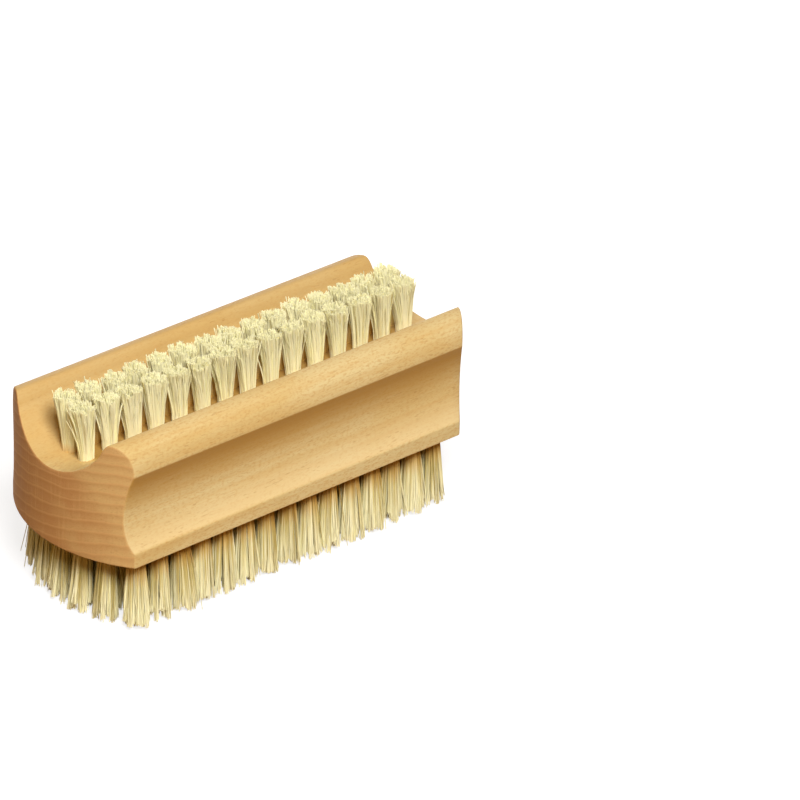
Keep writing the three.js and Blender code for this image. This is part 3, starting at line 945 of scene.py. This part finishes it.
def add_camera():
    """Camera where the photograph was taken from, turned by its azimuth, elevation and roll."""
    azimuth, elevation, roll = CAMERA_AZIMUTH, CAMERA_ELEVATION, CAMERA_ROLL
    back = Vector((
        math.sin(azimuth) * math.cos(elevation),
        -math.cos(azimuth) * math.cos(elevation),
        math.sin(elevation),
    ))
    right = Vector((math.cos(azimuth), math.sin(azimuth), 0))
    up = back.cross(right)
    turned_right = math.cos(roll) * right + math.sin(roll) * up
    turned_up = -math.sin(roll) * right + math.cos(roll) * up
    axes = Matrix((turned_right, turned_up, back)).transposed()
    place = Vector((0, 0, FACE_Z)) - axes @ FACE_CENTRE_SEEN
    data = bpy.data.cameras.new("photo_camera")
    data.sensor_width = SENSOR_WIDTH
    data.lens = SENSOR_WIDTH * FOCAL_PIXELS / PHOTO_SIZE
    data.clip_start = 0.01
    data.clip_end = 20
    camera = bpy.data.objects.new("photo_camera", data)
    camera.matrix_world = Matrix.Translation(place) @ axes.to_4x4()
    bpy.context.scene.collection.objects.link(camera)
    bpy.context.scene.camera = camera


def add_lamp(name, direction, size, power):
    """Square soft light in a direction from the brush, turned towards it."""
    data = bpy.data.lights.new(name, "AREA")
    data.shape = "SQUARE"
    data.size = size
    data.energy = power
    lamp = bpy.data.objects.new(name, data)
    place = LAMP_TARGET + LAMP_DISTANCE * direction
    lamp.location = place
    lamp.rotation_euler = (place - LAMP_TARGET).to_track_quat("Z", "Y").to_euler()
    bpy.context.scene.collection.objects.link(lamp)


def white_to_eye(nodes):
    """Share of a ray that comes from the camera, or from it by a mirror or through glass."""
    path = nodes.add("ShaderNodeLightPath")
    seen = nodes.math("MAXIMUM", path.outputs["Is Camera Ray"], path.outputs["Is Glossy Ray"])
    return nodes.math("MAXIMUM", seen, path.outputs["Is Transmission Ray"])


def towards(azimuth, elevation):
    """Unit vector to a light: azimuth in degrees from the front towards +X, elevation from the floor."""
    turn, rise = math.radians(azimuth), math.radians(elevation)
    return Vector((math.sin(turn) * math.cos(rise), -math.cos(turn) * math.cos(rise), math.sin(rise)))


def add_light():
    """Soft key light from the front left, weaker ones from the left and behind, and a white world."""
    add_lamp("key_softbox", towards(-31, 48), size=0.3, power=9.0)
    add_lamp("left_softbox", towards(-112, 22), size=0.4, power=0.3)
    add_lamp("back_softbox", towards(140, 4), size=0.6, power=3.2)
    world = bpy.data.worlds.new("studio")
    bpy.context.scene.world = world
    world.use_nodes = True
    nodes = Nodes(world.node_tree)
    background = world.node_tree.nodes["Background"]
    shade = nodes.mix(white_to_eye(nodes), WARM_ROOM, WHITE)
    nodes.feed(background.inputs["Color"], shade)


def add_floor():
    """Plain white floor that keeps the object's shadow and reads as white to the camera."""
    half = FLOOR_HALF
    points = np.array([(-half, -half, 0), (half, -half, 0), (half, half, 0), (-half, half, 0)])
    floor = new_object("floor", new_mesh("floor", points, np.array([[0, 1, 2, 3]])))
    material, nodes, shader = new_material("white_floor")
    seen = white_to_eye(nodes)
    nodes.feed(shader.inputs["Base Color"], nodes.mix(seen, FLOOR_BOUNCE, FLOOR_GREY))
    shader.inputs["Roughness"].default_value = 0.9
    shader.inputs["Specular IOR Level"].default_value = 0.1
    shader.inputs["Emission Color"].default_value = WHITE
    away = nodes.add("ShaderNodeVectorMath", operation="LENGTH")
    nodes.feed(away.inputs[0], nodes.add("ShaderNodeTexCoord").outputs["Object"])
    glow = nodes.ramp(away.outputs["Value"], GLOW_FROM, GLOW_TO, GLOW_UNDER, 1.0)
    nodes.feed(shader.inputs["Emission Strength"], nodes.math("MULTIPLY", seen, glow))
    floor.data.materials.append(material)


def add_brush():
    """The block, the tufts and the anchors, with their materials."""
    wire = wire_material()
    for name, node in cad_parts.items():
        if name.startswith("short_tuft_anchor"):
            node.data.materials.clear()
            node.data.materials.append(wire)
    anchors = long_tuft_anchors()
    anchors.data.materials.append(wire)
    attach(anchors, "root")

    block = drilled_block()
    block.data.materials.clear()
    block.data.materials.append(beech_material())
    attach(block, "root")
    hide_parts("handle_block")

    fibre = fibre_material()
    for tufts in bristles():
        tufts.data.materials.append(fibre)


bpy.context.scene.view_settings.view_transform = "Standard"
add_camera()
add_light()
add_floor()
add_brush()
